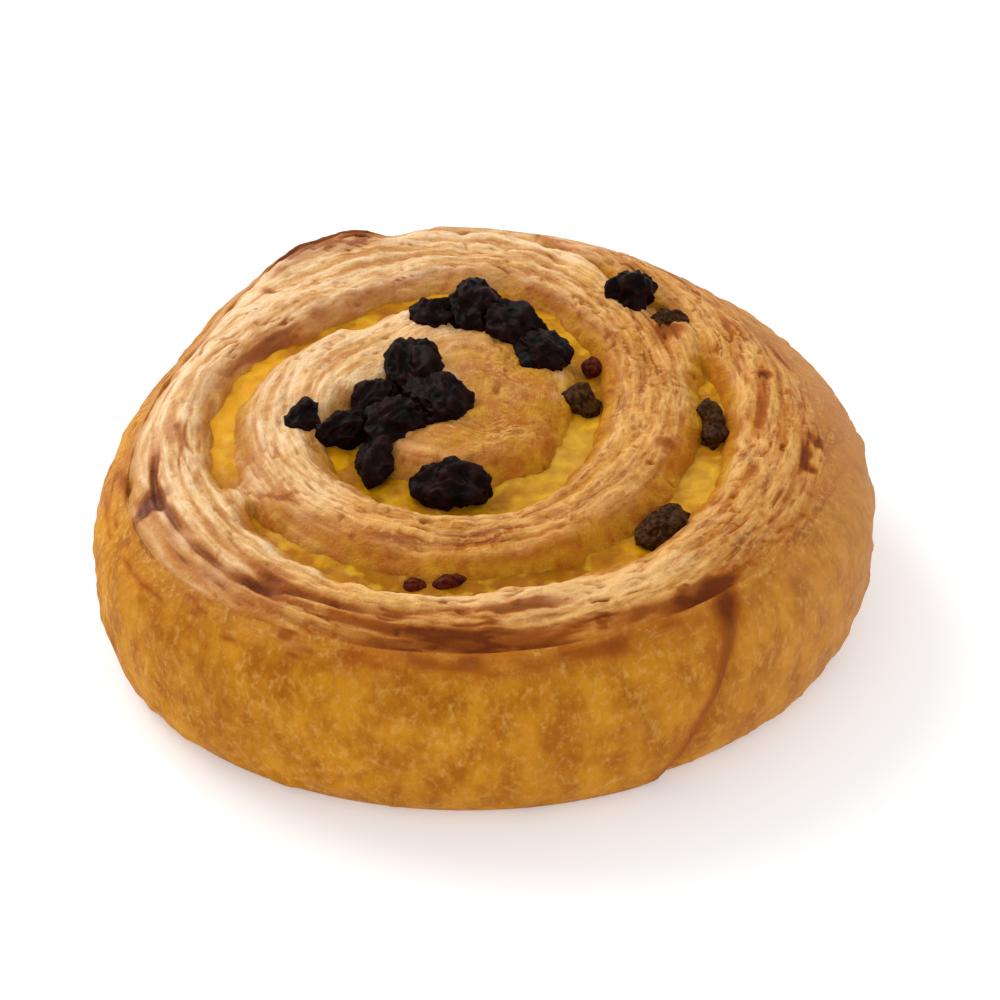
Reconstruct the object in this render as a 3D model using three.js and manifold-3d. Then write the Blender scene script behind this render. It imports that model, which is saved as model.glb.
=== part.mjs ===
// Round pain suisse: a strip of laminated dough, spread with custard and raisins, coiled up and baked
// lying on its side, so that the coil shows on top. The dough is one strip. The custard is a ribbon
// that runs through the coil from top to base, and each raisin lies in a pocket of its own.
// Millimetres, +Z up, the origin at the middle of the flat base. Angles are in degrees, counted
// anticlockwise from +X as seen from above; a coil angle goes on past 360 from turn to turn.
import * as THREE from 'three';
import { mergeVertices } from 'three/addons/utils/BufferGeometryUtils.js';
import Module from 'manifold-3d';

// ---- driving dimensions: the outline
const WALL_RADIUS = 53.0; // mean radius of the side where it bulges most
const WALL_WAVES = [ // how the outline departs from a circle: waves per turn, cosine and sine part
  { waves: 2, cosine: -1.25, sine: 0.15 },
  { waves: 3, cosine: 1.02, sine: -1.36 },
  { waves: 4, cosine: -0.35, sine: 0.2 },
  { waves: 5, cosine: 0.14, sine: -0.29 },
];
const WALL_PROFILE = [ // the side from the base up: height, and how far it draws in from the bulge
  { height: 0, inset: 3.0 },
  { height: 1.5, inset: 1.8 },
  { height: 5, inset: 0.5 },
  { height: 10.5, inset: 0 },
  { height: 16, inset: 0.3 },
  { height: 20, inset: 1.9 },
];
const RIM_HEIGHT = 23.5; // the edge between the smooth side and the cut face on top
const RIM_INSET = 5.0;
const SHOULDER = { at: 10, spread: 45, gain: 2.6, up: 1.2 }; // at the right the rim lies further in
const DENT = { at: 152, spread: 13, gain: -1.5 }; // the side is drawn in at the back left
const NOTCH = { at: 108, spread: 5, gain: 1.6 }; // the rim steps in behind the lifted flake
const CREST_HEIGHT = 26.8; // the ridges of the coil
const CENTRE_RISE = 1.0; // the middle stands a little higher
const CENTRE_REACH = 36; // the radius at which that has gone
const RIM_SLOPE = 6.5; // width over which the outer ridge falls to the rim

// ---- driving dimensions: the coil
const COIL_RADIUS = 22.5;
const COIL_PITCH = 14.6; // growth of the custard line's radius in one turn
const COIL_WAVES = [ // the coil is off centre and uneven
  { waves: 0.5, cosine: -1.18, sine: 0.42 },
  { waves: 1, cosine: -5.4, sine: -0.29 },
  { waves: 2, cosine: -1.64, sine: 0 },
];
const COIL_BENDS = [ // raisins push the line out at the back; beside them it lies further in
  { at: 92, spread: 24, gain: 2.0 },
  { at: 132, spread: 24, gain: -2.4 },
];
const COIL_START = -135;
const CUSTARD_END = 420; // beyond it the turns are baked together along a crease
const CREASE_REACH = 45; // the angle over which the crease closes on the rim
const COIL_END = 600;
const HOOK = { x: -7.0, y: -7.0, from: 100, to: 225 }; // the custard curls into the middle
const HOOK_STATIONS = 10;
const HOOK_WIDENS = 0.3; // how much wider the curled end is, on each side

// ---- driving dimensions: the custard and the valley it lies in
const CUSTARD_HALF_WIDTH = 2.1;
const CUSTARD_WIDTHS = [ // where the ribbon is wider or pinched
  { at: -95, spread: 32, gain: 1.1 },
  { at: 84, spread: 15, gain: 1.3 },
  { at: 140, spread: 28, gain: -0.8 },
  { at: 185, spread: 30, gain: -0.4 },
  { at: 221, spread: 14, gain: -1.0 },
  { at: 278, spread: 32, gain: -0.5 },
  { at: 385, spread: 28, gain: -1.1 },
  { at: 425, spread: 20, gain: -0.6 },
];
const CUSTARD_HEIGHT = 24.1;
const CUSTARD_CROWN = 0.35;
const CUSTARD_FOOT = 0.3; // the ribbon ends just above the base
const VALLEY_DEPTH = 2.7;
const SLOPE_IN = 4.2; // width of the slope that faces the middle
const SLOPE_OUT = 5.0; // width of the slope that faces outwards
const CREASE_DEPTH = 1.3;
const CREASE_SLOPE = 2.4;
const CLOSING = { before: 30, over: 40 }; // where the valley turns into the crease, in degrees
const GAP = 0.3; // clearance between pieces that touch

// ---- driving dimensions: unevenness
const RIDGE_SWELL = 0.45;
const WALL_SWELL = 0.35;
const TAIL = { // where the thin end of the strip lies on the side: it stands out, then steps in
  at: 303, stands: 0.52, steps: -0.78, reach: 50, lean: 0.6, middle: 12, leanReach: 25,
};
const FLAP = { at: 119, half: 11, out: 0.6, up: 0.8 }; // a lifted flake on the rim at the back
const LAYER_STEP = { at: 225, spread: 42, gain: 0.25, count: 3 }; // layers that show at the front left
const RIM_WAVE = 0.18;
const LIP_FADE = { from: 16, over: 8 }; // height from which the tail merges into the side

// ---- raisins: middle, length, width, thickness, turn about +Z
const RAISINS = [
  { x: -23.4, y: -3.0, z: 26.6, long: 6.4, wide: 3.8, tall: 4.0, turn: 65 },
  { x: -17.9, y: -5.2, z: 26.2, long: 6.6, wide: 5.4, tall: 4.8, turn: 20 },
  { x: -13.5, y: 1.6, z: 26.4, long: 6.4, wide: 5.6, tall: 5.0, turn: 60 },
  { x: -13.4, y: -12.4, z: 26.0, long: 8.0, wide: 4.8, tall: 4.6, turn: 78 },
  { x: -8.6, y: 7.4, z: 27.2, long: 9.4, wide: 7.8, tall: 6.2, turn: 110 },
  { x: -5.6, y: -0.4, z: 27.1, long: 10.2, wide: 8.2, tall: 6.4, turn: 120 },
  { x: -11.0, y: -5.4, z: 26.9, long: 9.0, wide: 7.4, tall: 6.0, turn: 50 },
  { x: -3.2, y: -17.5, z: 25.8, long: 10.6, wide: 7.0, tall: 6.2, turn: 172 },
  { x: -0.6, y: 21.3, z: 27.8, long: 9.6, wide: 7.6, tall: 6.4, turn: 100 },
  { x: -5.8, y: 20.6, z: 26.8, long: 7.4, wide: 5.8, tall: 5.2, turn: 10 },
  { x: 4.6, y: 16.9, z: 27.6, long: 9.2, wide: 7.2, tall: 6.0, turn: 140 },
  { x: 8.6, y: 10.8, z: 27.2, long: 8.8, wide: 6.6, tall: 5.8, turn: 115 },
  { x: 13.4, y: 2.9, z: 24.9, long: 5.8, wide: 4.8, tall: 4.4, turn: 160 },
  { x: 21.3, y: 26.3, z: 27.1, long: 6.2, wide: 5.8, tall: 7.0, turn: 30 },
  { x: 30.9, y: -2.3, z: 24.4, long: 8.0, wide: 4.0, tall: 4.4, turn: 95 },
  { x: 23.8, y: -24.2, z: 24.2, long: 9.4, wide: 4.8, tall: 4.2, turn: 50 },
  { x: -3.3, y: -34.9, z: 23.9, long: 4.2, wide: 2.0, tall: 2.0, turn: 12 },
  { x: -7.8, y: -35.5, z: 23.8, long: 3.2, wide: 1.8, tall: 1.8, turn: 170 },
  { x: 26.2, y: 21.1, z: 25.4, long: 6.5, wide: 3.8, tall: 3.6, turn: 135 },
  { x: 15.3, y: 10.6, z: 25.4, long: 3.4, wide: 2.6, tall: 2.6, turn: 80 },
];
const SMALL_RAISIN = 5; // shorter raisins have fewer faces
const RAISIN_FOLDS = 0.13;

// ---- resolution
const STEP = 5; // degrees from section to section
const ACROSS = [0, 0.22, 0.36, 0.5, 0.64, 0.78, 0.9]; // points across a turn, from its inner edge
const CORE_RINGS = [0.3, 0.6, 0.82]; // rings of the middle, as shares of its radius
const TAIL_STEP = 1.2; // degrees over which the tail steps in

const TURN = 360;
const rad = THREE.MathUtils.degToRad;
const clamp = THREE.MathUtils.clamp;

const waveSum = (angle, list) =>
  list.reduce((sum, { waves, cosine, sine }) => {
    const phase = rad(angle * waves);
    return sum + cosine * Math.cos(phase) + sine * Math.sin(phase);
  }, 0);

const bump = (angle, { at, spread, gain }) => gain * Math.exp(-(((angle - at) / spread) ** 2));

// an angle from a place round the pastry, from -180 to 180
const offsetFrom = (angle, at) => THREE.MathUtils.euclideanModulo(angle - at + TURN / 2, TURN) - TURN / 2;

// the same bump on every turn, for features of the outline
const roundBump = (angle, feature) => bump(offsetFrom(angle, feature.at), { ...feature, at: 0 });

// 1 on the flat floor of a valley, 0 beyond its slope
function fall(distance, flat, slope) {
  const share = clamp((distance - flat) / slope, 0, 1);
  return 1 - share * share * (3 - 2 * share);
}

// ---- outline

// The thin end of the strip stands out on the side and stops at a step.
function tailLip(angle) {
  const past = offsetFrom(angle, TAIL.at);
  const left = clamp(1 - Math.abs(past) / TAIL.reach, 0, 1);
  return (past > 0 ? TAIL.steps : TAIL.stands) * left;
}

// The step on the side leans: the sections beside it turn with the height.
const tailTurn = (angle, height) =>
  bump(offsetFrom(angle, TAIL.at), { at: 0, spread: TAIL.leanReach, gain: TAIL.lean * (height - TAIL.middle) });

const flapShare = (angle) => Math.exp(-((offsetFrom(angle, FLAP.at) / FLAP.half) ** 4));

const wallRadius = (angle) => WALL_RADIUS + waveSum(angle, WALL_WAVES) + roundBump(angle, DENT);

const rimRadius = (angle) => wallRadius(angle) - RIM_INSET - roundBump(angle, SHOULDER)
  - roundBump(angle, NOTCH) + FLAP.out * flapShare(angle);

const rimHeight = (angle) => RIM_HEIGHT + RIM_WAVE * Math.sin(rad(5 * angle))
  + FLAP.up * flapShare(angle) + roundBump(angle, { ...SHOULDER, gain: SHOULDER.up });

// ---- coil

const spiralRadius = (angle) => COIL_RADIUS + (COIL_PITCH * angle) / TURN
  + COIL_BENDS.reduce((sum, bend) => sum + bump(angle, bend), waveSum(angle, COIL_WAVES));

const closingGap = rimRadius(CUSTARD_END) - spiralRadius(CUSTARD_END);

// Radius of the line between two turns: custard first, then a crease that closes on the rim.
function seamRadius(angle) {
  if (angle <= CUSTARD_END) return spiralRadius(angle);
  const left = Math.exp(-(angle - CUSTARD_END) / CREASE_REACH);
  const end = Math.exp(-(COIL_END - CUSTARD_END) / CREASE_REACH);
  return rimRadius(angle) - (closingGap * (left - end)) / (1 - end);
}

const firstTurnGrowth = seamRadius(COIL_START + TURN) - seamRadius(COIL_START);

// Inner edge of a turn. The first turn grows evenly out of the middle.
function innerEdge(angle) {
  if (angle >= COIL_START) return seamRadius(angle);
  const share = (angle + TURN - COIL_START) / TURN;
  return seamRadius(angle + TURN) - firstTurnGrowth * share;
}

const outerEdge = (angle) =>
  angle + TURN <= COIL_END ? seamRadius(angle + TURN) : rimRadius(angle);

const custardHalfWidth = (angle) =>
  CUSTARD_WIDTHS.reduce((sum, feature) => sum + bump(angle, feature), CUSTARD_HALF_WIDTH);

// ---- the middle of the base is the origin

function outlineCentre() {
  const box = new THREE.Box2();
  for (let angle = 0; angle < TURN; angle += 1) {
    const radius = wallRadius(angle) + tailLip(angle);
    box.expandByPoint(new THREE.Vector2(Math.cos(rad(angle)), Math.sin(rad(angle))).multiplyScalar(radius));
  }
  return box.getCenter(new THREE.Vector2());
}
const centre = outlineCentre();

const place = (radius, angle, height) => [
  radius * Math.cos(rad(angle)) - centre.x,
  radius * Math.sin(rad(angle)) - centre.y,
  height,
];

// ---- heights of the top

const hookRadius = spiralRadius(COIL_START) - Math.hypot(HOOK.x, HOOK.y);

function hookDistance(x, y) {
  const angle = THREE.MathUtils.radToDeg(Math.atan2(y - HOOK.y, x - HOOK.x));
  const nearest = clamp(THREE.MathUtils.euclideanModulo(angle, TURN), HOOK.from, HOOK.to);
  const px = HOOK.x + hookRadius * Math.cos(rad(nearest));
  const py = HOOK.y + hookRadius * Math.sin(rad(nearest));
  return Math.hypot(x - px, y - py);
}

// 1 on the floor of the valley, then a slope that starts steep and runs out gently
const slopeShare = (distance, flat, slope) => (1 - clamp((distance - flat) / slope, 0, 1)) ** 2;

function valley(angle, distance, slope) {
  const closed = clamp((angle - CUSTARD_END + CLOSING.before) / CLOSING.over, 0, 1);
  const depth = THREE.MathUtils.lerp(VALLEY_DEPTH, CREASE_DEPTH, closed);
  const flat = THREE.MathUtils.lerp(custardHalfWidth(angle), 0, closed);
  return depth * slopeShare(distance, flat, THREE.MathUtils.lerp(slope, CREASE_SLOPE, closed));
}

const swell = (angle, radius) => RIDGE_SWELL * clamp(radius / 16, 0, 1) * (
  0.5 * Math.sin(rad(7 * angle) + radius * 0.31) + 0.3 * Math.sin(rad(11 * angle) - radius * 0.5)
  + 0.2 * Math.sin(rad(17 * angle) + radius * 0.9));

// Height of the top at a radius of the turn with this coil angle.
function topHeight(angle, radius) {
  const x = radius * Math.cos(rad(angle));
  const y = radius * Math.sin(rad(angle));
  const rise = CENTRE_RISE * (1 - clamp(radius / CENTRE_REACH, 0, 1) ** 2);
  const inMiddle = angle < COIL_START;
  const inner = inMiddle ? 0 : valley(angle, radius - seamRadius(angle), SLOPE_IN);
  const onRim = angle + TURN > COIL_END;
  const outer = onRim ? 0 : valley(angle + TURN, seamRadius(angle + TURN) - radius, SLOPE_OUT);
  const hook = VALLEY_DEPTH * slopeShare(hookDistance(x, y), CUSTARD_HALF_WIDTH + 2 * HOOK_WIDENS, SLOPE_IN);
  const top = CREST_HEIGHT + rise + swell(angle, radius) - Math.max(inner, outer, hook);
  const rim = fall(rimRadius(angle) - radius, 0, RIM_SLOPE);
  const layers = roundBump(angle, LAYER_STEP) * Math.sin(rim * Math.PI * LAYER_STEP.count);
  return THREE.MathUtils.lerp(top, rimHeight(angle), rim) - layers;
}

// ---- dough

const seamAngles = [TAIL.at, TAIL.at + TAIL_STEP]; // a close pair makes the step sharp
for (let angle = 0; angle < TURN; angle += STEP) {
  if (Math.abs(angle - TAIL.at) > STEP / 2) seamAngles.push(angle);
}
seamAngles.sort((a, b) => a - b);

// All section angles from one coil angle up to and with another one.
function sectionAngles(from, to) {
  const list = [from];
  for (let turn = -3; turn < 3; turn += 1) {
    for (const angle of seamAngles) {
      const coil = angle + turn * TURN;
      if (coil > from + 0.5 && coil < to - 0.5) list.push(coil);
    }
  }
  list.push(to);
  return list;
}

function pushQuad(faces, a, b, c, d) {
  faces.push(a, b, c, a, c, d);
}

const same = (a, b) => Math.hypot(a[0] - b[0], a[1] - b[1], a[2] - b[2]) < 1e-4;

function geometryFrom(faces) {
  const kept = [];
  for (let i = 0; i < faces.length; i += 3) {
    const [a, b, c] = faces.slice(i, i + 3);
    if (!same(a, b) && !same(b, c) && !same(c, a)) kept.push(...a, ...b, ...c);
  }
  const geometry = new THREE.BufferGeometry();
  geometry.setAttribute('position', new THREE.Float32BufferAttribute(kept, 3));
  return geometry;
}

// The points across the top of a turn, from its inner to its outer edge.
function topSection(angle) {
  const inner = innerEdge(angle);
  const outer = outerEdge(angle);
  const points = ACROSS.map((share) => {
    const radius = THREE.MathUtils.lerp(inner, outer, share);
    const start = angle < COIL_START && share === 0;
    return start ? corePoint(angle, 1) : place(radius, angle, topHeight(angle, radius));
  });
  const onRim = angle + TURN > COIL_END - 0.01;
  const edge = onRim ? place(outer, angle, rimHeight(angle))
    : place(outer, angle, topHeight(angle + TURN, outer));
  return [...points, edge];
}

function corePoint(angle, share) {
  const coil = angle - TURN * Math.floor((angle - COIL_START) / TURN) - TURN;
  const radius = innerEdge(coil) * share;
  return place(radius, angle, topHeight(coil, radius));
}

// Points of the side below the rim, from the rim down to the base.
function wallSection(angle) {
  const blister = (height) => WALL_SWELL * (0.6 * Math.sin(rad(9 * angle) + height * 0.4)
    + 0.4 * Math.sin(rad(21 * angle) - height * 0.7));
  const rows = WALL_PROFILE.map(({ height, inset }) => {
    const lip = tailLip(angle) * fall(height, LIP_FADE.from, LIP_FADE.over);
    const radius = wallRadius(angle) - inset + lip + (height ? blister(height) : 0);
    return place(radius, angle + tailTurn(angle, height), height);
  });
  return [place(rimRadius(angle), angle, rimHeight(angle)), ...rows.reverse()];
}

function doughBlock() {
  const faces = [];
  const loftBetween = (first, second) => {
    for (let i = 0; i + 1 < first.length; i += 1) {
      pushQuad(faces, first[i], first[i + 1], second[i + 1], second[i]);
    }
  };
  const coil = sectionAngles(COIL_START - TURN, COIL_END).map(topSection);
  for (let i = 0; i + 1 < coil.length; i += 1) loftBetween(coil[i], coil[i + 1]);

  const round = sectionAngles(COIL_START - TURN, COIL_START);
  const middle = place(0, 0, topHeight(COIL_START - TURN, 0));
  const rings = round.map((angle) => [middle, ...CORE_RINGS.map((share) => corePoint(angle, share)),
    corePoint(angle, 1)]);
  const walls = sectionAngles(COIL_END - TURN, COIL_END).map(wallSection);
  for (let i = 0; i + 1 < rings.length; i += 1) loftBetween(rings[i], rings[i + 1]);
  for (let i = 0; i + 1 < walls.length; i += 1) {
    loftBetween(walls[i], walls[i + 1]);
    faces.push(walls[i].at(-1), [-centre.x, -centre.y, 0], walls[i + 1].at(-1));
  }
  return geometryFrom(faces);
}

// ---- ribbons that follow the custard line

function custardLine() {
  const line = [];
  const half = custardHalfWidth(COIL_START) + HOOK_WIDENS;
  for (let i = 0; i < HOOK_STATIONS; i += 1) {
    const angle = THREE.MathUtils.lerp(HOOK.from, HOOK.to, i / HOOK_STATIONS);
    line.push({ x: HOOK.x, y: HOOK.y, angle, radius: hookRadius, half });
  }
  for (const angle of sectionAngles(COIL_START, CUSTARD_END).filter((a, i) => i % 2 === 0)) {
    line.push({ x: 0, y: 0, angle, radius: spiralRadius(angle), half: custardHalfWidth(angle) });
  }
  return line;
}

// A closed ribbon along the line: one loop of points for each station, capped at both ends.
function ribbon(sectionOf) {
  const sections = custardLine().map((station) => sectionOf(station).map(([offset, height]) => {
    const [x, y, z] = place(station.radius + offset, station.angle, height);
    return [x + station.x, y + station.y, z];
  }));
  const faces = [];
  const count = sections[0].length;
  for (let i = 0; i + 1 < sections.length; i += 1) {
    for (let j = 0; j < count; j += 1) {
      const next = (j + 1) % count;
      pushQuad(faces, sections[i][j], sections[i][next], sections[i + 1][next], sections[i + 1][j]);
    }
  }
  const [first, last] = [sections[0], sections.at(-1)];
  for (let j = 1; j + 1 < count; j += 1) {
    faces.push(first[0], first[j + 1], first[j], last[0], last[j], last[j + 1]);
  }
  return geometryFrom(faces);
}

const channelBlock = () => ribbon(({ half }) => [
  [half, -1], [-half, -1], [-half, CREST_HEIGHT + 8], [half, CREST_HEIGHT + 8]]);

const custardBlock = () => ribbon(({ half, angle }) => {
  const edge = half - GAP;
  const top = CUSTARD_HEIGHT + 0.25 * Math.sin(rad(6 * angle));
  return [[edge, CUSTARD_FOOT], [-edge, CUSTARD_FOOT], [-edge, top], [0, top + CUSTARD_CROWN], [edge, top]];
});

// ---- raisins

// A dried grape: an ellipsoid with folds from end to end, grown by the given clearance.
function raisinBlock(raisin, index, clearance) {
  const detail = raisin.long < SMALL_RAISIN ? 1 : 2;
  const geometry = new THREE.IcosahedronGeometry(1, detail);
  const position = geometry.getAttribute('position');
  const half = new THREE.Vector3(raisin.long, raisin.wide, raisin.tall).divideScalar(2);
  const point = new THREE.Vector3();
  for (let i = 0; i < position.count; i += 1) {
    point.fromBufferAttribute(position, i);
    const around = Math.atan2(point.z, point.y);
    const folds = Math.sin(4 * around + index) * Math.cos(2.2 * point.x + index)
      + 0.6 * Math.sin(7 * around - 2 * index) * Math.sin(3 * point.x + 2 * index);
    const size = 1 + RAISIN_FOLDS * folds * (1 - point.x ** 2 / 2);
    point.multiply(half).multiplyScalar(size);
    point.setLength(point.length() + clearance);
    position.setXYZ(i, point.x, point.y, point.z);
  }
  const lean = rad(14 * Math.sin(3 * index));
  geometry.rotateY(lean);
  geometry.rotateZ(rad(raisin.turn));
  geometry.translate(raisin.x - centre.x, raisin.y - centre.y, raisin.z);
  return geometry;
}

// ---- cutting

const wasm = await Module();
wasm.setup();

function solid(geometry) {
  geometry.deleteAttribute('normal');
  geometry.deleteAttribute('uv');
  const merged = mergeVertices(geometry, 1e-4);
  return new wasm.Manifold(new wasm.Mesh({
    numProp: 3,
    vertProperties: new Float32Array(merged.getAttribute('position').array),
    triVerts: new Uint32Array(merged.getIndex().array),
  }));
}

// A cut can leave a loose scrap; the piece itself is the largest part.
const largest = (body) => body.decompose().sort((a, b) => b.volume() - a.volume())[0];

function meshFrom(name, body, material) {
  const { vertProperties, triVerts } = largest(body).getMesh();
  const geometry = new THREE.BufferGeometry();
  geometry.setAttribute('position', new THREE.BufferAttribute(new Float32Array(vertProperties), 3));
  geometry.setIndex(new THREE.BufferAttribute(new Uint32Array(triVerts), 1));
  geometry.computeVertexNormals();
  const mesh = new THREE.Mesh(geometry, material);
  mesh.name = name;
  return mesh;
}

const baked = new THREE.MeshStandardMaterial({ color: '#c9853f', roughness: 0.55, metalness: 0 });
const cream = new THREE.MeshStandardMaterial({ color: '#d8a42e', roughness: 0.4, metalness: 0 });
const driedFruit = new THREE.MeshStandardMaterial({ color: '#2b1a1e', roughness: 0.45, metalness: 0 });

const pastry = new THREE.Group();
const pockets = RAISINS.map((raisin, index) => solid(raisinBlock(raisin, index, GAP)));
const cutPockets = (body) => pockets.reduce((rest, pocket) => rest.subtract(pocket), body);

pastry.add(meshFrom('dough', cutPockets(solid(doughBlock()).subtract(solid(channelBlock()))), baked));
pastry.add(meshFrom('custard', cutPockets(solid(custardBlock())), cream));
RAISINS.forEach((raisin, index) => {
  const whole = solid(raisinBlock(raisin, index, 0));
  const body = pockets.slice(0, index).reduce((rest, pocket) => rest.subtract(pocket), whole);
  pastry.add(meshFrom(`raisin_${index + 1}`, body, driedFruit));
});

export default pastry;
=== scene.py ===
"""A round pain suisse, baked: the coiled dough, its flaked layers, the custard and the raisins."""
import math

import bmesh
import bpy
import numpy as np
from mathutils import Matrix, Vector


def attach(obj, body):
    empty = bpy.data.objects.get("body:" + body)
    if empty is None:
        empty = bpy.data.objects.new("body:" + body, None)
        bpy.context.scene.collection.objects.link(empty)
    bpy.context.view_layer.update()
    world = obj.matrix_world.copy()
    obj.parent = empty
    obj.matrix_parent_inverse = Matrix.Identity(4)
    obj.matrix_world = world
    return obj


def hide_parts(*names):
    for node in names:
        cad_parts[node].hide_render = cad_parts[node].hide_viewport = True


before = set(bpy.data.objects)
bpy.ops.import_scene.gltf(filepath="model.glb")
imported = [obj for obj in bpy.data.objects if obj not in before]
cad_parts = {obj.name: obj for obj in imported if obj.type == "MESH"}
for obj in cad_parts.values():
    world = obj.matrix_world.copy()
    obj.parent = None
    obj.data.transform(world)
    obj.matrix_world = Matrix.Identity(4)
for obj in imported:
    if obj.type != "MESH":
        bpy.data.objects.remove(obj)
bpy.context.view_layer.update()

# ---- Crust ----------------------------------------------------------------------------------------
# One strip of laminated butter dough, rolled up, cut and baked lying on its side. Its top is the cut
# face, where the edges of the thin layers run along the coil and have lifted in the oven; its side is
# the smooth skin of the rolled-out sheet, with the strip's thin end stuck on at the front right.

# The plan is one spiral seam inside an uneven round outline. Lengths are in millimetres, angles in
# degrees anticlockwise from +X, and a coil angle goes on past 360 from turn to turn. A wave is given
# by times round, cosine and sine, a bump by place, spread and height, and a sector by its start, its
# end and how far each fades.
MM = 0.001
TURN = 360.0
WALL_RADIUS = 53.0
WALL_WAVES = ((2, -1.25, 0.15), (3, 1.02, -1.36), (4, -0.35, 0.2), (5, 0.14, -0.29))
RIM_HEIGHT = 23.5
RIM_RIPPLE = 0.18
RIM_INSET = 5.0
RIM_SLOPE = 6.5
SHOULDER = (10, 45, 2.6)
SHOULDER_UP = (10, 45, 1.2)
DENT = (152, 13, -1.5)
NOTCH = (108, 5, 1.6)
CREST_HEIGHT = 26.8
CENTRE_RISE = 1.0
CENTRE_REACH = 36.0
COIL_RADIUS = 22.5
COIL_PITCH = 14.6
COIL_WAVES = ((0.5, -1.18, 0.42), (1, -5.4, -0.29), (2, -1.64, 0))
COIL_BENDS = ((92, 24, 2.0), (132, 24, -2.4))
COIL_START = -135.0
CUSTARD_END = 420.0
CREASE_REACH = 45.0
COIL_END = 600.0
# the custard's inner end turns in on itself round this point
HOOK_X = -7.0
HOOK_Y = -7.0
HOOK_FROM = 100.0
HOOK_TO = 225.0
HOOK_EXTRA = 0.6
CUSTARD_HALF_WIDTH = 2.1
CUSTARD_WIDTHS = ((-95, 32, 1.1), (84, 15, 1.3), (140, 28, -0.8), (185, 30, -0.4), (221, 14, -1.0),
                  (278, 32, -0.5), (385, 28, -1.1), (425, 20, -0.6))
CUSTARD_HEIGHT = 24.1
# the strip's thin end stands out from the side on one hand and steps back on the other
TAIL_AT = 303.0
TAIL_LEAN = 0.6
TAIL_HEIGHT = 12.0
TAIL_STANDS = 0.52
TAIL_STEPS = 0.78
TAIL_REACH = 50.0
# a corner of the outer layers has lifted at the back left
FLAP_AT = 119.0
FLAP_HALF = 11.0
FLAP_OUT = 0.6
FLAP_UP = 0.8
FLAP_REACH = 7.8


def cos(angle):
    return np.cos(np.radians(angle))


def sin(angle):
    return np.sin(np.radians(angle))


def mix(a, b, share):
    return a + (b - a) * share


def clip(value):
    return np.clip(value, 0.0, 1.0)


def smooth(value):
    value = clip(value)
    return value * value * (3 - 2 * value)


def bell(offset):
    return np.exp(-(offset ** 2))


def turned(angle):
    """The same angle between -180 and 180."""
    return (angle + TURN / 2) % TURN - TURN / 2


def sector(angle, span):
    """1 between two angles, with a soft start and end."""
    first, last, fade_in, fade_out = span
    return smooth((angle - first) / fade_in) * smooth((last - angle) / fade_out)


def wave_sum(angle, waves):
    return sum(a * cos(angle * n) + b * sin(angle * n) for n, a, b in waves)


def bump(angle, feature):
    at, spread, gain = feature
    return gain * bell((angle - at) / spread)


def round_bump(angle, feature):
    at, spread, gain = feature
    return gain * bell(turned(angle - at) / spread)


def wall_radius(angle):
    return WALL_RADIUS + wave_sum(angle, WALL_WAVES) + round_bump(angle, DENT)


def tail_past(angle, height):
    """How far past the leaning edge of the thin end an angle is."""
    return turned((angle - TAIL_AT - TAIL_LEAN * (height - TAIL_HEIGHT)) % TURN)


def tail_lip(angle, height=TAIL_HEIGHT):
    past = tail_past(angle, height)
    left = clip(1 - np.abs(past) / TAIL_REACH)
    return left * mix(TAIL_STANDS, -TAIL_STEPS, smooth((past + 0.4) / 2.0))


def flap_share(angle):
    return np.exp(-((turned(angle - FLAP_AT) / FLAP_HALF) ** 4))


def rim_radius(angle):
    inset = RIM_INSET + round_bump(angle, SHOULDER) + round_bump(angle, NOTCH)
    return wall_radius(angle) - inset + FLAP_OUT * flap_share(angle)


def rim_height(angle):
    return (RIM_HEIGHT + RIM_RIPPLE * sin(5 * angle) + FLAP_UP * flap_share(angle)
            + round_bump(angle, SHOULDER_UP))


def spiral_radius(angle):
    bends = sum(bump(angle, bend) for bend in COIL_BENDS)
    return COIL_RADIUS + COIL_PITCH * angle / TURN + wave_sum(angle, COIL_WAVES) + bends


def arc_length(angle):
    return np.radians(angle) * (COIL_RADIUS + COIL_PITCH * angle / (2 * TURN))


def seam_radius(angle):
    gap = rim_radius(CUSTARD_END) - spiral_radius(CUSTARD_END)
    left = np.exp(-(angle - CUSTARD_END) / CREASE_REACH)
    end = math.exp(-(COIL_END - CUSTARD_END) / CREASE_REACH)
    closing = rim_radius(angle) - gap * (left - end) / (1 - end)
    return np.where(angle <= CUSTARD_END, spiral_radius(angle), closing)


def inner_edge(angle):
    growth = seam_radius(COIL_START + TURN) - seam_radius(COIL_START)
    within = seam_radius(angle + TURN) - growth * (angle + TURN - COIL_START) / TURN
    return np.where(angle >= COIL_START, seam_radius(angle), within)


def outer_edge(angle):
    return np.where(angle + TURN <= COIL_END, seam_radius(angle + TURN), rim_radius(angle))


def custard_half_width(angle):
    return CUSTARD_HALF_WIDTH + sum(bump(angle, feature) for feature in CUSTARD_WIDTHS)


def outline_centre():
    angle = np.arange(TURN)
    radius = wall_radius(angle) + tail_lip(angle)
    x, y = radius * cos(angle), radius * sin(angle)
    return (x.min() + x.max()) / 2, (y.min() + y.max()) / 2


CENTRE_X, CENTRE_Y = outline_centre()
HOOK_RADIUS = float(spiral_radius(COIL_START)) - math.hypot(HOOK_X, HOOK_Y)


def hook_distance(x, y):
    angle = np.degrees(np.arctan2(y - HOOK_Y, x - HOOK_X)) % TURN
    nearest = np.clip(angle, HOOK_FROM, HOOK_TO)
    return np.hypot(x - HOOK_X - HOOK_RADIUS * cos(nearest), y - HOOK_Y - HOOK_RADIUS * sin(nearest))


CELL_PRIMES = (73856093, 19349663, 83492791)
KEY_BITS = 0xFFFFFFFF


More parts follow.
